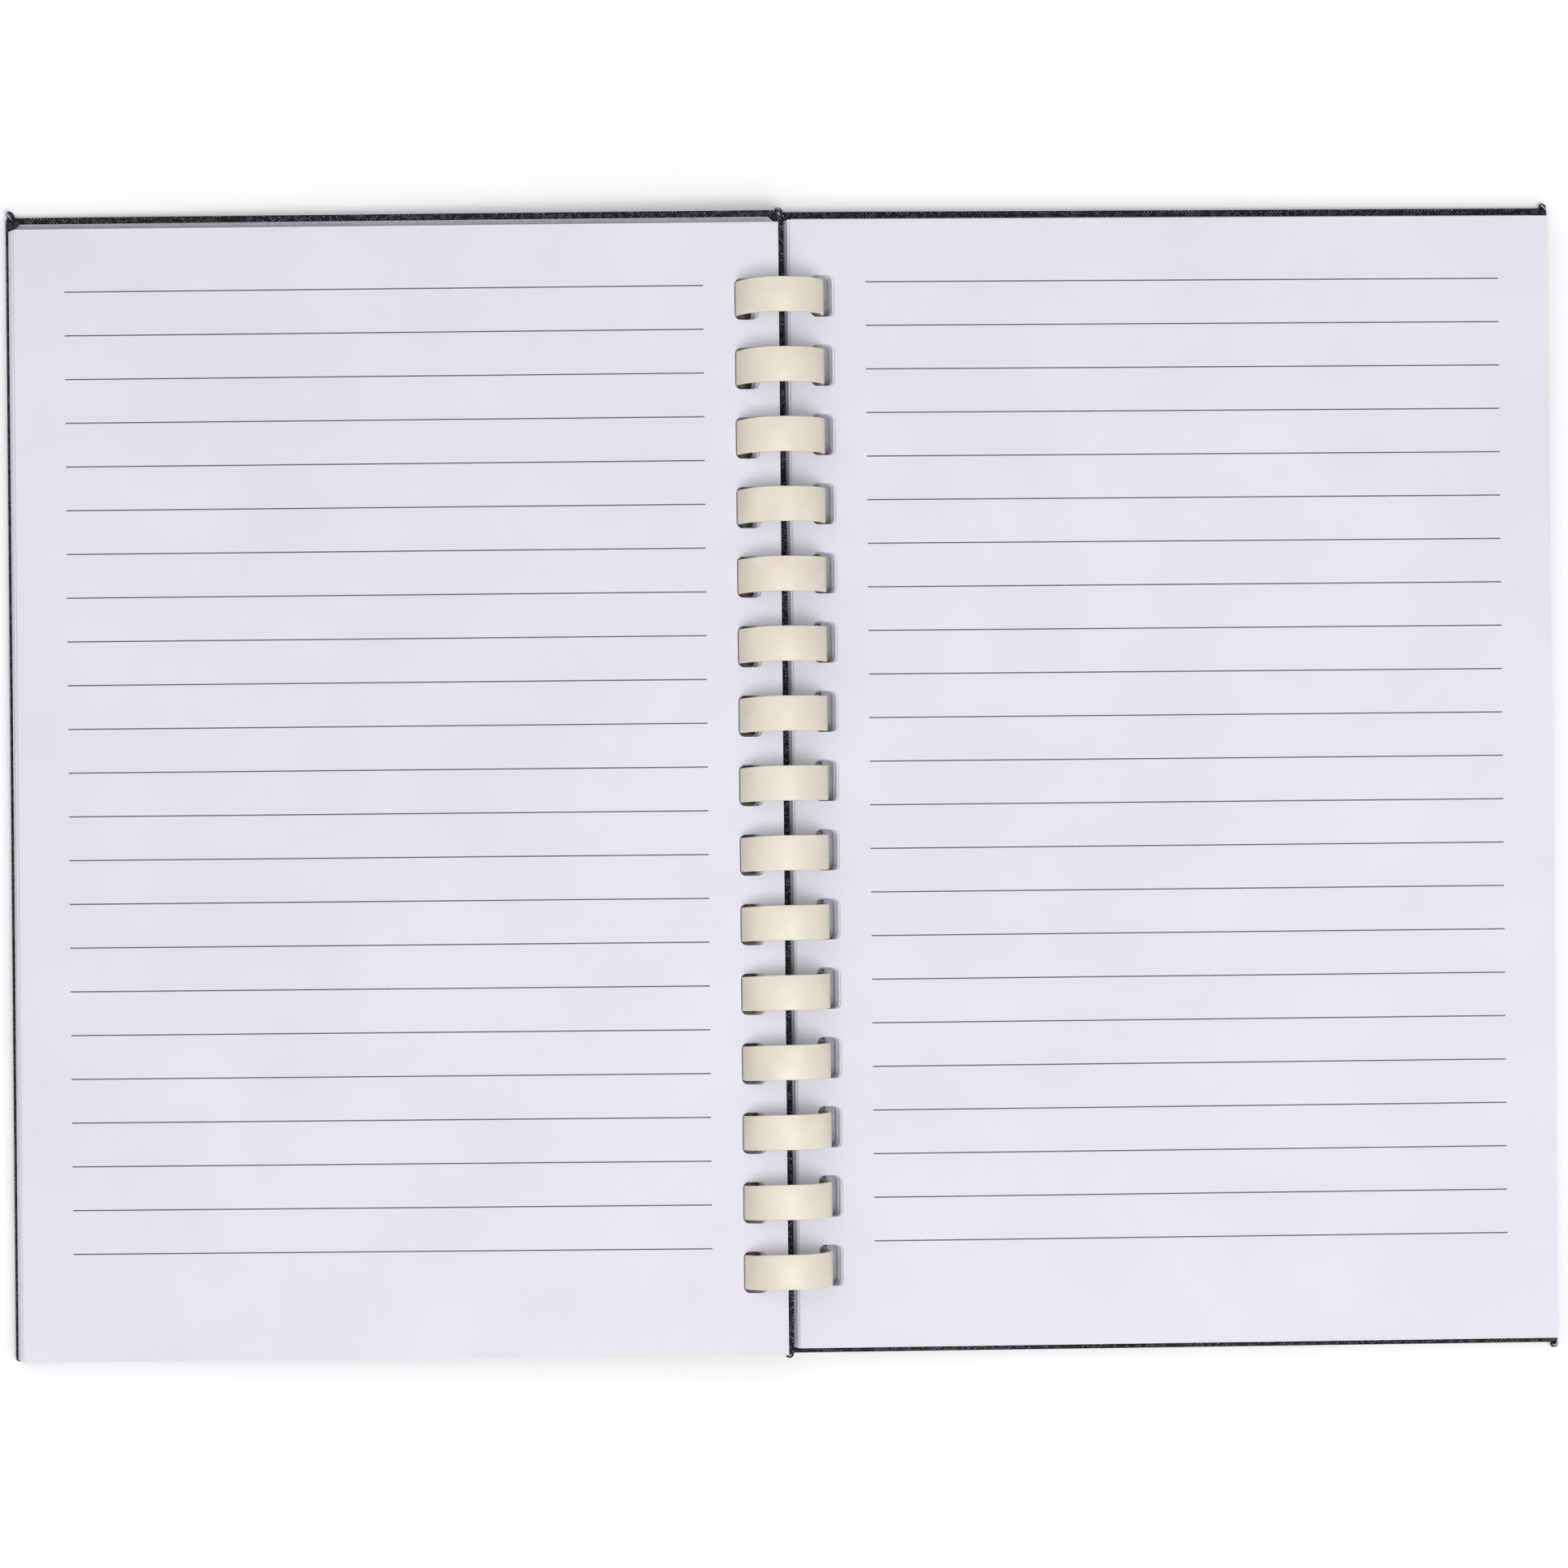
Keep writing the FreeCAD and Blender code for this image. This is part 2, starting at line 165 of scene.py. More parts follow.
def greyboard():
    """Pressed grey pulp with darker fibres."""
    finish = Finish("greyboard", BOARD_ROUGHNESS)
    fibres = finish.noise(finish.place(), *BOARD_FIBRES)
    blend = fibres.ramp(*BOARD_FIBRE_RANGE)
    finish.feed("Base Color", finish.mix(blend, tint(*BOARD_FLECK), tint(*BOARD_COLOUR)))
    finish.relief(fibres, BOARD_RELIEF)
    return finish.material


board_finish = greyboard()
for board in ("front_board", "back_board"):
    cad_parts[board].data.materials.clear()
    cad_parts[board].data.materials.append(board_finish)


# Cloth: black book cloth 0.22 mm thick, glued round each board, turned in over its inside and
# mitred at the corners, where the folded ends stand out as small ears with a pale cut edge.

COVER_WIDTH = 0.143
COVER_HEIGHT = 0.2102
COVER_THICKNESS = 0.00184
CLOTH_THICKNESS = 0.00022
CLOTH_EDGE_RADIUS = 0.0005
CLOTH_CORNER_RADIUS = 0.0007
CLOTH_RIM_DEPTH = 0.0019
CLOTH_BEND_STEPS = 6
CLOTH_CREASE = 40.0
TURN_IN = 0.015
COVER_SLOT = (0.0054, 0.0076)
COVER_SLOT_CORNER = 0.0006
SLOT_CORNER_STEPS = 4
SAME_PLACE = 1e-6
PLACE_DIGITS = 7
SLOT_PITCH = 0.0127
SLOT_COUNT = 15
COMB_PLACE = (-0.0003, -0.00016, 0.0082)
LINING_TOP = 0.002

EAR_RADIUS = 0.00072
EAR_HEIGHT = 0.0011
EAR_SQUASH = 1.3
EAR_SIDES = 12
EAR_STATIONS = 15
EAR_TAPERS = (0.12, 0.25)
EAR_FULLNESS = 0.6
EAR_CREASE = 60.0
CUT_EDGE_RADIUS = 0.00013
CUT_EDGE_LIFT = 1.2
CUT_EDGE_SQUASH = 1.2
CUT_EDGE_SIDES = 8
CUT_EDGE_STATIONS = 11
CUT_EDGE_TAPER = 0.4
# Each ear: its cover, whether it is at the outer edge, at the head or foot, and the lines of its
# fold and its cut edge, as three places outward and along the comb from the cover's own corner.
EARS = (
    ("front", True, 1, ((-0.0003, 0.0004), (-0.0007, 0.0005), (-0.0016, -0.0009)),
     ((-0.0002, 0.0010), (-0.0005, 0.0005), (-0.0012, -0.0004))),
    ("front", False, 1, ((0.0012, -0.0008), (0.0008, -0.0009), (0.0004, -0.0013)),
     ((0.0011, -0.0005), (0.0009, -0.0007), (0.0006, -0.0010))),
    ("back", False, 1, ((-0.0002, 0.0003), (0.0005, 0.0001), (0.0009, -0.0012)),
     ((-0.0001, 0.0007), (0.0006, 0.0003), (0.0014, -0.0010))),
    ("back", True, 1, ((-0.0012, 0.0000), (-0.0008, 0.0002), (-0.0004, -0.0006)),
     ((-0.0012, 0.0004), (-0.0008, 0.0003), (-0.0003, -0.0003))),
    ("back", True, -1, ((-0.0010, 0.0001), (-0.0007, -0.0003), (-0.0003, 0.0004)),
     ((-0.0010, -0.0003), (-0.0006, -0.0005), (-0.0002, 0.0002))),
    ("back", False, -1, ((0.0001, 0.0003), (0.0005, -0.0003), (0.0010, 0.0005)),
     ((0.0002, 0.0000), (0.0005, -0.0005), (0.0009, 0.0000))),
)

CLOTH_DARK = (12, 13, 20)
CLOTH_THREAD = (36, 39, 50)
CLOTH_FLECK = (150, 152, 160)
BACKING_COLOUR = (206, 206, 210)
CLOTH_ROUGHNESS = 0.85
CLOTH_SHINE = 0.25
THREAD_PITCH = 0.00062
THREAD_NOISE = (900.0, 3.0)
WEAVE_HEIGHT = 0.00008
WEAVE_SHARE = 0.8
THREAD_SHARE = 0.4
WORN_NOISE = (1300.0, 3.0, 0.6)
WORN_RANGE = (0.47, 0.56)
WORN_CREST = (0.62, 0.85)
WORN_SHARE = 0.8
BACKING_ROUGHNESS = 0.9
BACKING_FUZZ = (4000.0, 3.0)
BACKING_FUZZ_SHARE = 0.5
BACKING_RELIEF = 0.00002


class Half:
    """Where one cover and its leaves lie: to the left or right of the comb, slightly tilted."""

    def __init__(self, name, way, start, lift, slot_inset):
        self.name = name
        self.way = way
        self.start = start
        self.lift = lift
        self.slot_inset = slot_inset
        self.tilt = math.asin(lift / (start + COVER_WIDTH))

    def lay(self, points):
        """Turns points given outward from the comb, along it and up from the cover's underside by
        the half's tilt about the comb, and lifts them onto it. The left half is mirrored."""
        out, along, up = points.T
        cosine, sine = math.cos(self.tilt), math.sin(self.tilt)
        across = COMB_PLACE[0] + self.way * (out * cosine + up * sine)
        return np.stack([across, along, self.lift - out * sine + up * cosine], axis=1)


HALVES = (Half("front", -1, -0.00093, 0.0052, 0.00453), Half("back", 1, -0.00036, 0.00175, 0.00206))


def new_piece(name, points, faces, finish, body, mirrored=False):
    """A mesh object from points and faces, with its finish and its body."""
    mesh = bpy.data.meshes.new(name)
    mesh.from_pydata(points.tolist(), [], [face[::-1] if mirrored else face for face in faces])
    mesh.materials.append(finish)
    piece = bpy.data.objects.new(name, mesh)
    bpy.context.scene.collection.objects.link(piece)
    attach(piece, body)
    return piece


def smooth_shade(piece, degrees):
    """Smooth shading that keeps a crease wherever the faces turn by more than the angle."""
    angle = math.radians(degrees)
    work = bmesh.new()
    work.from_mesh(piece.data)
    for face in work.faces:
        face.smooth = True
    for edge in work.edges:
        edge.smooth = len(edge.link_faces) == 2 and edge.calc_face_angle() < angle
    work.to_mesh(piece.data)
    work.free()


def punched_layout(outs, height, slots, middles, corner):
    """A flat sheet from the given outward lines and height, with a row of rounded slots.

    The sheet is a grid whose lines follow the slots' sides. The cells inside a slot are left out,
    and each of its four corners is filled by a fan between the corner and a quarter circle.
    Slots are the outward lines of their two sides and their height along the comb."""
    near, far, tall = slots
    steps = SLOT_CORNER_STEPS
    sides = [near, near + corner, far - corner, far]
    columns = np.unique(np.round(np.concatenate([outs, sides]), PLACE_DIGITS))
    lines = [middle + side for middle in middles
             for side in (-tall / 2, corner - tall / 2, tall / 2 - corner, tall / 2)]
    rows = np.unique(np.round(np.concatenate([[-height / 2, height / 2], lines]), PLACE_DIGITS))
    grid = np.stack(np.meshgrid(columns, rows, indexing="ij"), axis=-1)
    points = [grid.reshape(-1, 2)]
    count = points[0].shape[0]
    number = np.arange(count).reshape(len(columns), len(rows))
    inside_out = (columns[:-1] > near - SAME_PLACE) & (columns[:-1] < far - SAME_PLACE)
    row_middle = (rows[:-1] + rows[1:]) / 2
    inside_row = np.abs(row_middle[:, None] - np.asarray(middles)[None, :]).min(axis=1) < tall / 2
    faces = []
    for i, j in zip(*np.nonzero(~(inside_out[:, None] & inside_row[None, :]))):
        faces.append((number[i, j], number[i + 1, j], number[i + 1, j + 1], number[i, j + 1]))
    for middle in middles:
        for side in (-1, 1):
            for end in (-1, 1):
                edge = near if side < 0 else far
                top = middle + end * tall / 2
                turn = np.linspace(0, math.pi / 2, steps + 1)
                arc = np.stack([edge - side * corner * (1 - np.cos(turn)),
                                top - end * corner * (1 - np.sin(turn))], axis=1)
                ends = [number[np.abs(columns - x).argmin(), np.abs(rows - y).argmin()]
                        for x, y in ((edge, top), arc[0], arc[-1])]
                inner = list(range(count, count + steps - 1))
                points.append(arc[1:-1])
                count += steps - 1
                path = [ends[1]] + inner + [ends[2]]
                for first, second in zip(path[:-1], path[1:]):
                    fan = (ends[0], first, second)
                    faces.append(fan if side * end < 0 else fan[::-1])
    return np.concatenate(points), faces


def slab(points, faces, bottom, top):
    """Closes a flat sheet into a slab: its faces above and, turned over, below, and a wall under
    each edge that only one face uses. Gives the points with a third number, and the faces."""
    total = len(points)
    upper = [tuple(int(n) + total for n in face) for face in faces]
    lower = [tuple(int(n) for n in face[::-1]) for face in faces]
    edges = {(face[n], face[(n + 1) % len(face)]) for face in faces for n in range(len(face))}
    rim = [(int(a), int(b)) for a, b in edges if (b, a) not in edges]
    walls = [(a, b, b + total, a + total) for a, b in rim]
    low = np.column_stack([points, np.broadcast_to(bottom, total)])
    high = np.column_stack([points, np.broadcast_to(top, total)])
    return np.concatenate([low, high]), upper + lower + walls


def join(parts):
    """Several pairs of points and faces as one pair."""
    points, faces, count = [], [], 0
    for part_points, part_faces in parts:
        points.append(part_points)
        faces += [tuple(n + count for n in face) for face in part_faces]
        count += len(part_points)
    return np.concatenate(points), faces


def cloth_rim(start):
    """The cloth round the board's edge: a C-shaped section carried round the cover.

    The section is worked out as a depth inward from the edge and a height. At each corner it
    turns on a quarter circle of the corner's radius, and deeper points meet on the mitre."""
    r, c, t, deep = CLOTH_EDGE_RADIUS, CLOTH_THICKNESS, COVER_THICKNESS, CLOTH_RIM_DEPTH
    bend = np.linspace(0, math.pi / 2, CLOTH_BEND_STEPS)
    lower = np.stack([r - r * np.sin(bend), r - r * np.cos(bend)], axis=1)
    upper = np.stack([r - r * np.cos(bend), t - r + r * np.sin(bend)], axis=1)
    inside = [(deep, t), (deep, t - c), (c, t - c), (c, c), (deep, c)]
    depth, rise = np.concatenate([[(deep, 0.0)], lower, upper, inside]).T
    turn = np.linspace(0, math.pi / 2, CLOTH_BEND_STEPS)
    low = np.array([start, -COVER_HEIGHT / 2])
    high = np.array([start + COVER_WIDTH, COVER_HEIGHT / 2])
    corners = ((low[0], low[1], 1, 1), (high[0], low[1], -1, 1),
               (high[0], high[1], -1, -1), (low[0], high[1], 1, -1))
    stations = []
    for n, (x, y, right, up) in enumerate(corners):
        for angle in turn if n % 2 == 0 else turn[::-1]:
            flat = np.maximum(depth, CLOTH_CORNER_RADIUS)
            rest = np.maximum(CLOTH_CORNER_RADIUS - depth, 0)
            stations.append(np.stack([x + right * (flat - rest * math.cos(angle)),
                                      y + up * (flat - rest * math.sin(angle)), rise], axis=1))
    return loop_surface(np.array(stations), closed=True)


def loop_surface(loops, closed):
    """Quads between neighbouring closed loops of points, round again to the first if closed."""
    stations, around = loops.shape[:2]
    first = np.arange(stations if closed else stations - 1)[:, None] * around
    here = np.arange(around)[None, :]
    after = (here + 1) % around
    second = (first + around) % (stations * around)
    quads = np.stack([first + here, first + after, second + after, second + here], axis=-1).reshape(-1, 4)
    return loops.reshape(-1, 3), [tuple(quad) for quad in quads.tolist()]


def cap_ends(faces, stations, around):
    """Closes an open tube of loops with one face at each end."""
    return faces + [tuple(range(around))[::-1], tuple(range((stations - 1) * around, stations * around))]


def tidy_mesh(piece):
    """Joins points that coincide, drops faces left without area and turns all faces outwards."""
    work = bmesh.new()
    work.from_mesh(piece.data)
    bmesh.ops.remove_doubles(work, verts=work.verts, dist=SAME_PLACE)
    bmesh.ops.dissolve_degenerate(work, dist=SAME_PLACE, edges=work.edges)
    bmesh.ops.recalc_face_normals(work, faces=work.faces)
    work.to_mesh(piece.data)
    work.free()


def book_cloth():
    """Plain-woven black cotton with pale flecks where a thread's crest is worn. The weave is the
    product of two sines, one across the threads each way."""
    finish = Finish("book_cloth", CLOTH_ROUGHNESS, Specular_IOR_Level=CLOTH_SHINE)
    place = finish.place()
    x, y, z = finish.parts(place)
    turn = 2 * math.pi / THREAD_PITCH
    warp = ((x + z) * turn).sine()
    weft = ((y + z) * turn).sine()
    weave = (warp * weft + 1) * 0.5
    thick = finish.noise(place, *THREAD_NOISE)
    worn = finish.noise(place, *WORN_NOISE).ramp(*WORN_RANGE) * weave.ramp(*WORN_CREST)
    thread = finish.mix(weave * thick, tint(*CLOTH_DARK), tint(*CLOTH_THREAD))
    finish.feed("Base Color", finish.mix(worn * WORN_SHARE, thread, tint(*CLOTH_FLECK)))
    finish.relief(weave * WEAVE_SHARE + thick * THREAD_SHARE, WEAVE_HEIGHT)
    return finish.material


def cut_backing():
    """The pale paper backing of the cloth, seen where a folded corner was cut."""
    finish = Finish("cloth_backing", BACKING_ROUGHNESS)
    fuzz = finish.noise(finish.place(), *BACKING_FUZZ)
    blend = fuzz * BACKING_FUZZ_SHARE
    finish.feed("Base Color", finish.mix(blend, tint(*BACKING_COLOUR), tint(*CLOTH_FLECK)))
    finish.relief(fuzz, BACKING_RELIEF)
    return finish.material


def bent_tube(path, radii, squash, around):
    """A closed tube along a smooth curve through three points, with a radius at every station.

    The curve is the quadratic one that passes its middle point halfway. Each ring stands across
    the curve's direction in plan and upright, its height scaled by the squash."""
    first, middle, last = (np.array(point, dtype=float) for point in path)
    share = np.linspace(0, 1, len(radii))[:, None]
    control = 2 * middle - (first + last) / 2
    line = (1 - share) ** 2 * first + 2 * share * (1 - share) * control + share ** 2 * last
    along = np.gradient(line, axis=0)
    side = np.stack([-along[:, 1], along[:, 0], np.zeros(len(line))], axis=1)
    side /= np.linalg.norm(side, axis=1, keepdims=True)
    turn = np.linspace(0, 2 * math.pi, around, endpoint=False)
    flat = side[:, None, :] * np.cos(turn)[None, :, None]
    upright = np.array([0.0, 0.0, squash]) * np.sin(turn)[None, :, None]
    loops = line[:, None, :] + np.asarray(radii)[:, None, None] * (flat + upright)
    points, faces = loop_surface(loops, closed=False)
    return points, cap_ends(faces, len(loops), around)


def make_ears(half, cloth, backing):
    """The folded cloth that stands out at the cover's corners, and the pale cut edge on it."""
    folds, edges = [], []
    first, last = EAR_TAPERS
    swell = np.sin(np.linspace(first, math.pi - last, EAR_STATIONS)) ** EAR_FULLNESS
    taper = np.sin(np.linspace(CUT_EDGE_TAPER, math.pi - CUT_EDGE_TAPER, CUT_EDGE_STATIONS))
    for name, outer, end, fold, edge in EARS:
        if name != half.name:
            continue
        corner = np.array([half.start + (COVER_WIDTH if outer else 0.0), end * COVER_HEIGHT / 2])
        fold = [(*(corner + place), EAR_HEIGHT) for place in fold]
        folds.append(bent_tube(fold, EAR_RADIUS * swell, EAR_SQUASH, EAR_SIDES))
        edge = [(*(corner + place), EAR_HEIGHT + EAR_RADIUS * CUT_EDGE_LIFT) for place in edge]
        edges.append(bent_tube(edge, CUT_EDGE_RADIUS * taper, CUT_EDGE_SQUASH, CUT_EDGE_SIDES))
    for kind, parts, finish in (("corner_folds", folds, cloth), ("cut_edges", edges, backing)):
        points, faces = join(parts)
        piece = new_piece(half.name + "_" + kind, half.lay(points), faces, finish,
                          half.name + "_half")
        tidy_mesh(piece)
        smooth_shade(piece, EAR_CREASE)


def slot_middles(shift):
    """The places of the slots' middles along the comb."""
    return (np.arange(SLOT_COUNT) - (SLOT_COUNT - 1) / 2) * SLOT_PITCH + shift


def make_cloth(half, finish):
    """The rim, the sheet under the board and the turn-in that the comb passes through."""
    slot_near = half.start + half.slot_inset
    slots = (slot_near, slot_near + COVER_SLOT[0], COVER_SLOT[1])
    middles = slot_middles(COMB_PLACE[1])
    inner = half.start + CLOTH_RIM_DEPTH
    outer = half.start + COVER_WIDTH - CLOTH_RIM_DEPTH
    tall = COVER_HEIGHT - 2 * CLOTH_RIM_DEPTH
    under = punched_layout([inner, outer], tall, slots, middles, COVER_SLOT_CORNER)
    over = punched_layout([inner, half.start + TURN_IN], tall, slots, middles, COVER_SLOT_CORNER)
    parts = [cloth_rim(half.start), slab(*under, 0.0, CLOTH_THICKNESS),
             slab(*over, COVER_THICKNESS - CLOTH_THICKNESS, COVER_THICKNESS)]
    points, faces = join(parts)
    piece = new_piece(half.name + "_cloth_cover", half.lay(points), faces, finish,
                      half.name + "_half")
    tidy_mesh(piece)
    smooth_shade(piece, CLOTH_CREASE)
    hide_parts(half.name + "_cloth")


cloth_finish = book_cloth()
backing_finish = cut_backing()
for half in HALVES:
    make_cloth(half, cloth_finish)
    make_ears(half, cloth_finish, backing_finish)


# Linings: pale paper pasted over the inside of each cover, its corners snipped. Only a narrow
# strip shows beyond the leaves, and its cut edge shows in the slots.

LINING_COLOUR = (196, 197, 206)
LINING_SPECK = (170, 171, 182)
LINING_ROUGHNESS = 0.85
LINING_GRAIN = (1400.0, 5.0, 0.6)
LINING_GRAIN_RANGE = (0.3, 0.7)
LINING_RELIEF = 0.00001


def lining_paper():
    """Smooth uncoated paper with a faint cloudy grain."""
    finish = Finish("lining_paper", LINING_ROUGHNESS)
    grain = finish.noise(finish.place(), *LINING_GRAIN)
    blend = grain.ramp(*LINING_GRAIN_RANGE)
    finish.feed("Base Color", finish.mix(blend, tint(*LINING_SPECK), tint(*LINING_COLOUR)))
    finish.relief(grain, LINING_RELIEF)
    return finish.material


lining_finish = lining_paper()
for lining in ("front_lining", "back_lining"):
    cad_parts[lining].data.materials.clear()
    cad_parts[lining].data.materials.append(lining_finish)


# Leaves: writing paper, each sheet ruled on both sides with hairlines and punched with the row of
# slots, stacked loose on the comb so that the edges fan out a little.

LEAF_WIDTH = 0.1399
LEAF_HEIGHT = 0.207
STACK_THICKNESS = 0.004
SHEET_COUNT = 40
SHEET_SHARE = 0.92
LEAF_SLOT = (0.0044, 0.0076)
LEAF_SLOT_INSET = 0.0037
LEAF_SLOT_CORNER = 0.0011
LEAF_SLOT_RISE = 0.00054
LEAF_LINE_GAP = 0.006
LEAF_LINES = (0.4, 0.75, 0.93)
LEAF_STARTS = {"front": 0.00087, "back": 0.00084}
# How far the sheets lie outward, by their share of the stack's height: a few loose groups.
LEAF_FANS = {
    "front": ((0.0, 0.3, 0.34, 0.6, 0.64, 0.84, 0.86, 1.0),
              (0.0004, 0.0003, 0.0001, 0.0, -0.0002, -0.0003, -0.0008, -0.0009)),
    "back": ((0.0, 0.4, 0.44, 0.7, 0.74, 0.9, 0.92, 1.0),
             (0.0001, 0.0002, 0.0003, 0.0004, 0.0005, 0.0006, 0.00105, 0.0011)),
}
LEAF_SHIFTS = {"front": -0.0011, "back": -0.0003}
SHEET_SLIP = (0.00005, 0.00002)
SHEET_TWIST = 0.0003
SHEET_SINK = 0.00007
SHEET_WAVES = (31, 0.6, 19, 1.1)
SHEET_SEEDS = (11, 23)

RULE_PITCH = 0.008
RULE_COUNT = 23
RULE_FIRST = 0.0195
RULE_WIDTH = 0.00024
RULE_INNER = 0.0138
RULE_OUTER = 0.1307

PAPER_COLOUR = (227, 226, 236)
PAPER_CLOUD = (220, 219, 229)
PAPER_FIBRE = (190, 190, 204)
RULE_COLOUR = (80, 82, 94)
PAPER_ROUGHNESS = 0.75
CLOUD_NOISE = (45.0, 4.0)
CLOUD_RANGE = (0.35, 0.65)
CLOUD_SHARE = 0.6
GRAIN_NOISE = (3500.0, 3.0)
GRAIN_SHARE = 0.3
GRAIN_RELIEF = 0.000008
FIBRE_NOISE = (620.0, 6.0, 0.75)
FIBRE_RANGE = (0.735, 0.76)
FIBRE_SHARE = 0.6
INK_EDGE = (0.35, 0.65)
INK_LEAST = 0.75
INK_GRAIN = 0.4


def leaf_paper():
    """White writing paper with a cool tone, faint clouds and fibres, and 23 ruled hairlines.

    The sheet's own map gives metres outward from the comb's edge and up from the foot."""
    finish = Finish("leaf_paper", PAPER_ROUGHNESS)
    place = finish.place()
    out, up, _ = finish.parts(finish.node("ShaderNodeUVMap", {"uv_map": "page"}))
    cloud = finish.noise(place, *CLOUD_NOISE).ramp(*CLOUD_RANGE)
    grain = finish.noise(place, *GRAIN_NOISE)
    fibre = finish.noise(place, *FIBRE_NOISE).ramp(*FIBRE_RANGE)
    blend = cloud * CLOUD_SHARE + grain * GRAIN_SHARE
    base = finish.mix(blend, tint(*PAPER_COLOUR), tint(*PAPER_CLOUD))
    base = finish.mix(fibre * FIBRE_SHARE, base, tint(*PAPER_FIBRE))
    step = (up - RULE_FIRST) * (1 / RULE_PITCH) + 0.5
    near = (step.fraction() - 0.5).size() * RULE_PITCH
    ink = 1 - near.ramp(*[RULE_WIDTH * share for share in INK_EDGE])
    rows = (step > 0.0) * (step < RULE_COUNT)
    ends = (out > RULE_INNER) * (out < RULE_OUTER)
    ink = ink * rows * ends * (INK_LEAST + grain * INK_GRAIN)
    finish.feed("Base Color", finish.mix(ink, base, tint(*RULE_COLOUR)))
    finish.relief(grain, GRAIN_RELIEF)
    return finish.material


def sheet_wave(out, along, share):
    """How far a sheet sinks in the stack: one plus the product of a sine across the sheet and one
    along it, times the square of the sheet's place in the stack."""
    across_rate, across_start, along_rate, along_start = SHEET_WAVES
    swell = np.sin(out * across_rate + across_start) * np.sin(along * along_rate + along_start)
    return -SHEET_SINK * share ** 2 * (1 + swell)


def make_leaves(half, finish, seed):
    """Forty thin slabs, each slipped and twisted a little on the one below and carried outward by
    the stack's fan. The slips are a seeded walk, so neighbours stay close."""
    chance = np.random.default_rng(seed)
    walk = np.cumsum(chance.normal(0, SHEET_SLIP, (SHEET_COUNT, 2)), axis=0)
    walk -= np.linspace(walk[0], walk[-1], SHEET_COUNT)
    twist = chance.normal(0, SHEET_TWIST, SHEET_COUNT)
    twist[-1] = 0
    near = LEAF_SLOT_INSET
    far = near + LEAF_SLOT[0]
    outs = [0.0, far + LEAF_LINE_GAP, *[LEAF_WIDTH * share for share in LEAF_LINES], LEAF_WIDTH]
    flat, faces = punched_layout(outs, LEAF_HEIGHT, (near, far, LEAF_SLOT[1]),
                                 slot_middles(LEAF_SLOT_RISE), LEAF_SLOT_CORNER)
    pitch = STACK_THICKNESS / SHEET_COUNT
    sheets = []
    for n in range(SHEET_COUNT):
        share = (n + 0.5) / SHEET_COUNT
        out, along = flat.T
        base = n * pitch + sheet_wave(out, along, share)
        points, sheet_faces = slab(flat, faces, base, base + pitch * SHEET_SHARE)
        turned_out = points[:, 0] - points[:, 1] * twist[n]
        turned_along = points[:, 1] + points[:, 0] * twist[n]
        fan = np.interp(share, *LEAF_FANS[half.name])
        points[:, 0] = turned_out + LEAF_STARTS[half.name] + fan + walk[n, 0]
        points[:, 1] = turned_along + LEAF_SHIFTS[half.name] + walk[n, 1]
        points[:, 2] += LINING_TOP
        sheets.append((points, sheet_faces))
    points, faces = join(sheets)
    piece = new_piece(half.name + "_ruled_leaves", half.lay(points), faces, finish,
                      half.name + "_half", mirrored=half.way < 0)
    corners = np.empty(len(piece.data.loops), dtype=np.int32)
    piece.data.loops.foreach_get("vertex_index", corners)
    page = np.tile(np.column_stack([flat[:, 0], flat[:, 1] + LEAF_HEIGHT / 2]), (2 * SHEET_COUNT, 1))
    piece.data.uv_layers.new(name="page").data.foreach_set("uv", page[corners].ravel())
    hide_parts(half.name + "_leaves")


leaf_finish = leaf_paper()
for half, seed in zip(HALVES, SHEET_SEEDS):
    make_leaves(half, leaf_finish, seed)


# Comb: cream plastic sheet 0.5 mm thick, cut into a strip with fifteen tines and heat-set round.
# The tines rise from the band, pass through the slots and tuck their rounded tips inside the band.

COMB_RADIUS = 0.0082
COMB_WALL = 0.0005
TINE_WIDTH = 0.0064
TINE_TUCK = 0.00035
TIP_ANGLE = 70.0
TIP_CORNER = 0.0022
BAND_NEAR = 208.0
BAND_FAR = 297.0
ROOT_LAP = 5.0
ROOT_ARC = 12.0
ROOT_RADIUS = 0.0012
ROOT_INSET = 0.00003
TIP_ARC = 20.0
TINE_STATIONS = (3, 9, 26, 36, 12)
BAND_STEPS = 24
BAND_STATIONS = 31
LIP_STEPS = 7
COMB_EDGE_RADIUS = 0.0002
COMB_EDGE_STEPS = 4
COMB_CREASE = 50.0
SHOULDER_POWER = 2.3
SIDE_WIDEN = (0.022, 0.03)
SIDE_NARROW = 0.0001
COMB_SKEW = 0.0004
COMB_COLOUR = (230, 221, 203)
COMB_CLOUD = (224, 214, 196)
COMB_SCUFF = (206, 197, 181)
COMB_ROUGHNESS = 0.42
PLASTIC_IOR = 1.5
COMB_CLOUDS = (160.0, 3.0)
COMB_CLOUD_RANGE = (0.35, 0.65)
COMB_CLOUD_DULL = 0.08
SCUFF_NOISE = (900.0, 6.0, 0.7)
SCUFF_RANGE = (0.68, 0.74)
SCUFF_SHARE = 0.5
SCUFF_DULL = 0.2
COMB_RIPPLE = (260.0, 3.0)
COMB_RELIEF = 0.00004


def rounded_bar(half_width, half_wall, radius):
    """A closed loop round a bar's section, across it and through its wall, with round edges."""
    turn = np.linspace(0, math.pi / 2, COMB_EDGE_STEPS)
    loop = []
    for n, (side, face) in enumerate(((1, 1), (-1, 1), (-1, -1), (1, -1))):
        angles = turn if n % 2 == 0 else turn[::-1]
        loop.append(np.stack([side * (half_width - radius + radius * np.cos(angles)),
                              face * (half_wall - radius + radius * np.sin(angles))], axis=1))
    return np.concatenate(loop)


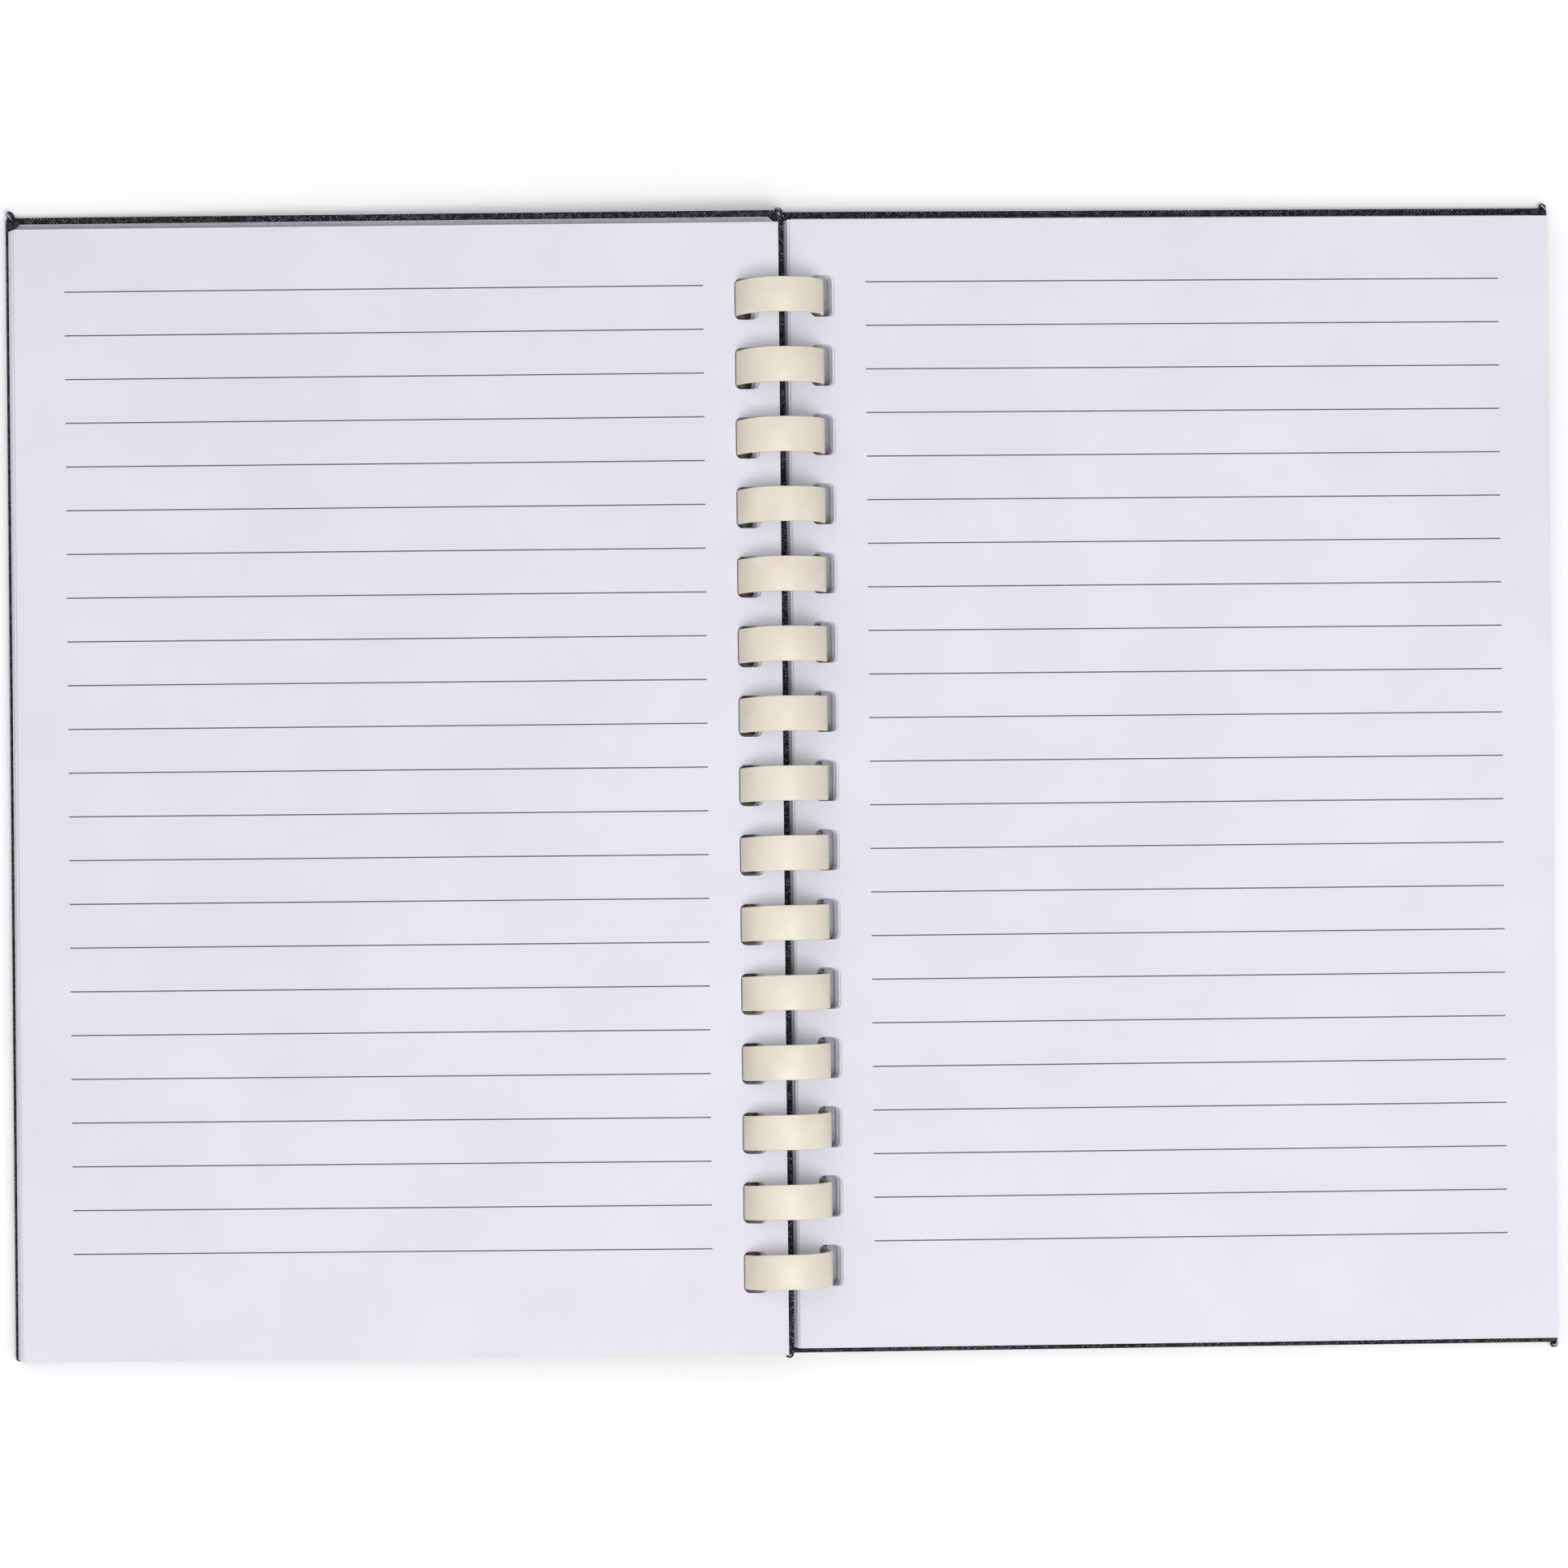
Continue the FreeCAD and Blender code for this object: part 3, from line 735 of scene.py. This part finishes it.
def make_tine(middle):
    """One tine: the bar's section carried along the curl, a left arc about the comb's axis and a
    right arc about a point slightly above it. Between its crown and its left side it is squarer
    than a circle, by a superellipse. Both sides stand out a little, by the square of the angle's
    cosine. The bar flares at its root in a quarter circle, and narrows at its tip in another."""
    tip = TIP_ANGLE - 180
    stops = (BAND_NEAR + ROOT_LAP, BAND_NEAR, BAND_NEAR - ROOT_ARC, 90, tip + TIP_ARC, tip)
    runs = zip(stops[:-1], stops[1:], TINE_STATIONS)
    degrees = np.concatenate([np.linspace(here, there, count)[:-1] for here, there, count in runs])
    degrees = np.append(degrees, tip)
    angle = np.radians(degrees)
    right = degrees < 90
    shoulder = (np.abs(np.cos(angle)) ** SHOULDER_POWER + np.abs(np.sin(angle)) ** SHOULDER_POWER)
    squarer = np.where((degrees > 90) & (degrees < 180), shoulder ** (-1 / SHOULDER_POWER), 1.0)
    reach = np.cos(angle) ** 2 * np.clip((BAND_NEAR - degrees) / (BAND_NEAR - 180), 0, 1)
    widen = 1 + np.where(right, SIDE_WIDEN[1], SIDE_WIDEN[0]) * reach
    radius = np.where(right, COMB_RADIUS - TINE_TUCK, COMB_RADIUS * squarer) - COMB_WALL / 2
    lift = np.where(right, TINE_TUCK, 0.0)
    past_root = np.clip(np.radians(BAND_NEAR - degrees) * COMB_RADIUS, 0, ROOT_RADIUS)
    to_tip = np.clip((angle - angle[-1]) * COMB_RADIUS, 0, TIP_CORNER)
    flare = ROOT_RADIUS - np.sqrt(ROOT_RADIUS ** 2 - (ROOT_RADIUS - past_root) ** 2)
    narrow = TIP_CORNER - np.sqrt(TIP_CORNER ** 2 - (TIP_CORNER - to_tip) ** 2)
    half_width = TINE_WIDTH / 2 + flare - narrow - SIDE_NARROW * np.where(right, 0, reach)
    wall = np.where(degrees > BAND_NEAR, COMB_WALL / 2 - ROOT_INSET, COMB_WALL / 2)
    loops = []
    for turn, ring, up, wide, thin, wider in zip(angle, radius, lift, half_width, wall, widen):
        across, out = rounded_bar(wide, thin, COMB_EDGE_RADIUS).T
        spread = (ring + out) * math.cos(turn) * wider
        loops.append(np.stack([spread, across + middle, up + (ring + out) * math.sin(turn)], axis=1))
    points, faces = loop_surface(np.array(loops), closed=False)
    return points, cap_ends(faces, len(loops), len(loops[0]))


def make_band():
    """The band: its trough section, an arc with round edges, carried along the comb."""
    bend = np.linspace(0, math.pi, LIP_STEPS)[1:-1]
    arc = np.linspace(math.radians(BAND_NEAR), math.radians(BAND_FAR), BAND_STEPS)
    middle, half_wall = COMB_RADIUS - COMB_WALL / 2, COMB_WALL / 2
    lip = half_wall / middle
    ends = [arc[-1] - lip + lip * np.sin(bend), arc[0] + lip - lip * np.sin(bend)]
    angle = np.concatenate([arc[1:-1], ends[0], arc[::-1][1:-1], ends[1]])
    side = np.full(BAND_STEPS - 2, half_wall)
    out = np.concatenate([side, half_wall * np.cos(bend), -side, -half_wall * np.cos(bend)])
    across, up = (middle + out) * np.cos(angle), (middle + out) * np.sin(angle)
    reach = SLOT_PITCH * SLOT_COUNT / 2
    loops = [np.stack([across, np.full(len(angle), along), up], axis=1)
             for along in np.linspace(-reach, reach, BAND_STATIONS)]
    points, faces = loop_surface(np.array(loops), closed=False)
    return points, cap_ends(faces, len(loops), len(angle))


def comb_plastic():
    """Satin cream plastic, faintly cloudy, with a few dull scuffs."""
    finish = Finish("comb_plastic", COMB_ROUGHNESS, IOR=PLASTIC_IOR)
    place = finish.place()
    cloud = finish.noise(place, *COMB_CLOUDS).ramp(*COMB_CLOUD_RANGE)
    scuff = finish.noise(place, *SCUFF_NOISE).ramp(*SCUFF_RANGE)
    base = finish.mix(cloud, tint(*COMB_COLOUR), tint(*COMB_CLOUD))
    finish.feed("Base Color", finish.mix(scuff * SCUFF_SHARE, base, tint(*COMB_SCUFF)))
    finish.feed("Roughness", COMB_ROUGHNESS + cloud * COMB_CLOUD_DULL + scuff * SCUFF_DULL)
    finish.relief(finish.noise(place, *COMB_RIPPLE), COMB_RELIEF)
    return finish.material


def skewed(points):
    """Slides the comb's left side towards the foot, by the square of its reach from the axis."""
    reach = np.minimum(points[:, 0], 0) / COMB_RADIUS
    return points - np.outer(COMB_SKEW * reach ** 2, [0.0, 1.0, 0.0])


comb_points, comb_faces = join([make_tine(middle) for middle in slot_middles(0.0)] + [make_band()])
comb_points = skewed(comb_points) + np.array(COMB_PLACE)
comb = new_piece("curled_comb", comb_points, comb_faces, comb_plastic(), "comb_body")
tidy_mesh(comb)
smooth_shade(comb, COMB_CREASE)
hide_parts("comb")


# Floor, light and camera: a plain pale table under soft even light, seen from straight above.

FLOOR_SIZE = 3.0
FLOOR_COLOUR = (246, 246, 248)
FLOOR_ROUGHNESS = 0.9
NO_LIGHT = (0.0, 0.0, 0.0, 1.0)
CAMERA_PLACE = (-0.025485, -0.002715, 0.914)
CAMERA_TURN = (0.166, -1.590, -0.556)
CAMERA_REACH = 10.0
SENSOR_WIDTH = 36.0
IMAGE_WIDTH = 1932
FOCAL_PIXELS = 6092.8
FLOOR_LIFT = (0.1, 0.1, 0.1, 1.0)
SKY_LIGHT = (0.385, 0.385, 0.395, 1.0)
SKY_SEEN = (1.0, 1.0, 1.0, 1.0)
LAMPS = (("key_lamp", (0.22, -0.32, 1.12), 0.7, 8.8), ("fill_lamp", (-0.6, 0.4, 0.9), 0.9, 2.0))


def seen_directly(graph):
    """One for rays from the camera, in reflections and through clear things, else zero."""
    rays = [graph.node("ShaderNodeLightPath", output="Is %s Ray" % kind)
            for kind in ("Camera", "Glossy", "Transmission")]
    return (rays[0] + rays[1] + rays[2]).ramp(0.0, 1.0)


def floor_finish():
    """Pale table: lifted to white where it is seen, and shaded where the object shadows it."""
    finish = Finish("floor", FLOOR_ROUGHNESS, Base_Color=tint(*FLOOR_COLOUR), Emission_Strength=1.0)
    finish.feed("Emission Color", finish.mix(seen_directly(finish), NO_LIGHT, FLOOR_LIFT))
    return finish.material


def make_floor():
    """A square plane at the table's height."""
    edge = FLOOR_SIZE / 2
    mesh = bpy.data.meshes.new("floor")
    corners = [(-edge, -edge, 0), (edge, -edge, 0), (edge, edge, 0), (-edge, edge, 0)]
    mesh.from_pydata(corners, [], [(0, 1, 2, 3)])
    mesh.materials.append(floor_finish())
    floor = bpy.data.objects.new("floor", mesh)
    bpy.context.scene.collection.objects.link(floor)


def make_lamp(name, place, width, power):
    """A square soft lamp that faces the notebook's middle."""
    light = bpy.data.lights.new(name, "AREA")
    light.size = width
    light.energy = power
    lamp = bpy.data.objects.new(name, light)
    lamp.location = place
    lamp.rotation_euler = (-lamp.location).to_track_quat("-Z", "Y").to_euler()
    bpy.context.scene.collection.objects.link(lamp)


make_floor()
for lamp in LAMPS:
    make_lamp(*lamp)

world = bpy.data.worlds.new("sky")
world.use_nodes = True
sky = Graph(world.node_tree)
sky_colour = sky.mix(seen_directly(sky), SKY_LIGHT, SKY_SEEN)
world.node_tree.links.new(sky_colour.socket, world.node_tree.nodes["Background"].inputs["Color"])
bpy.context.scene.world = world
bpy.context.scene.view_settings.view_transform = "Standard"

camera_data = bpy.data.cameras.new("camera")
camera_data.sensor_width = SENSOR_WIDTH
camera_data.lens = FOCAL_PIXELS * SENSOR_WIDTH / IMAGE_WIDTH
camera_data.clip_end = CAMERA_REACH
camera = bpy.data.objects.new("camera", camera_data)
camera.location = CAMERA_PLACE
camera.rotation_euler = [math.radians(angle) for angle in CAMERA_TURN]
bpy.context.scene.collection.objects.link(camera)
bpy.context.scene.camera = camera
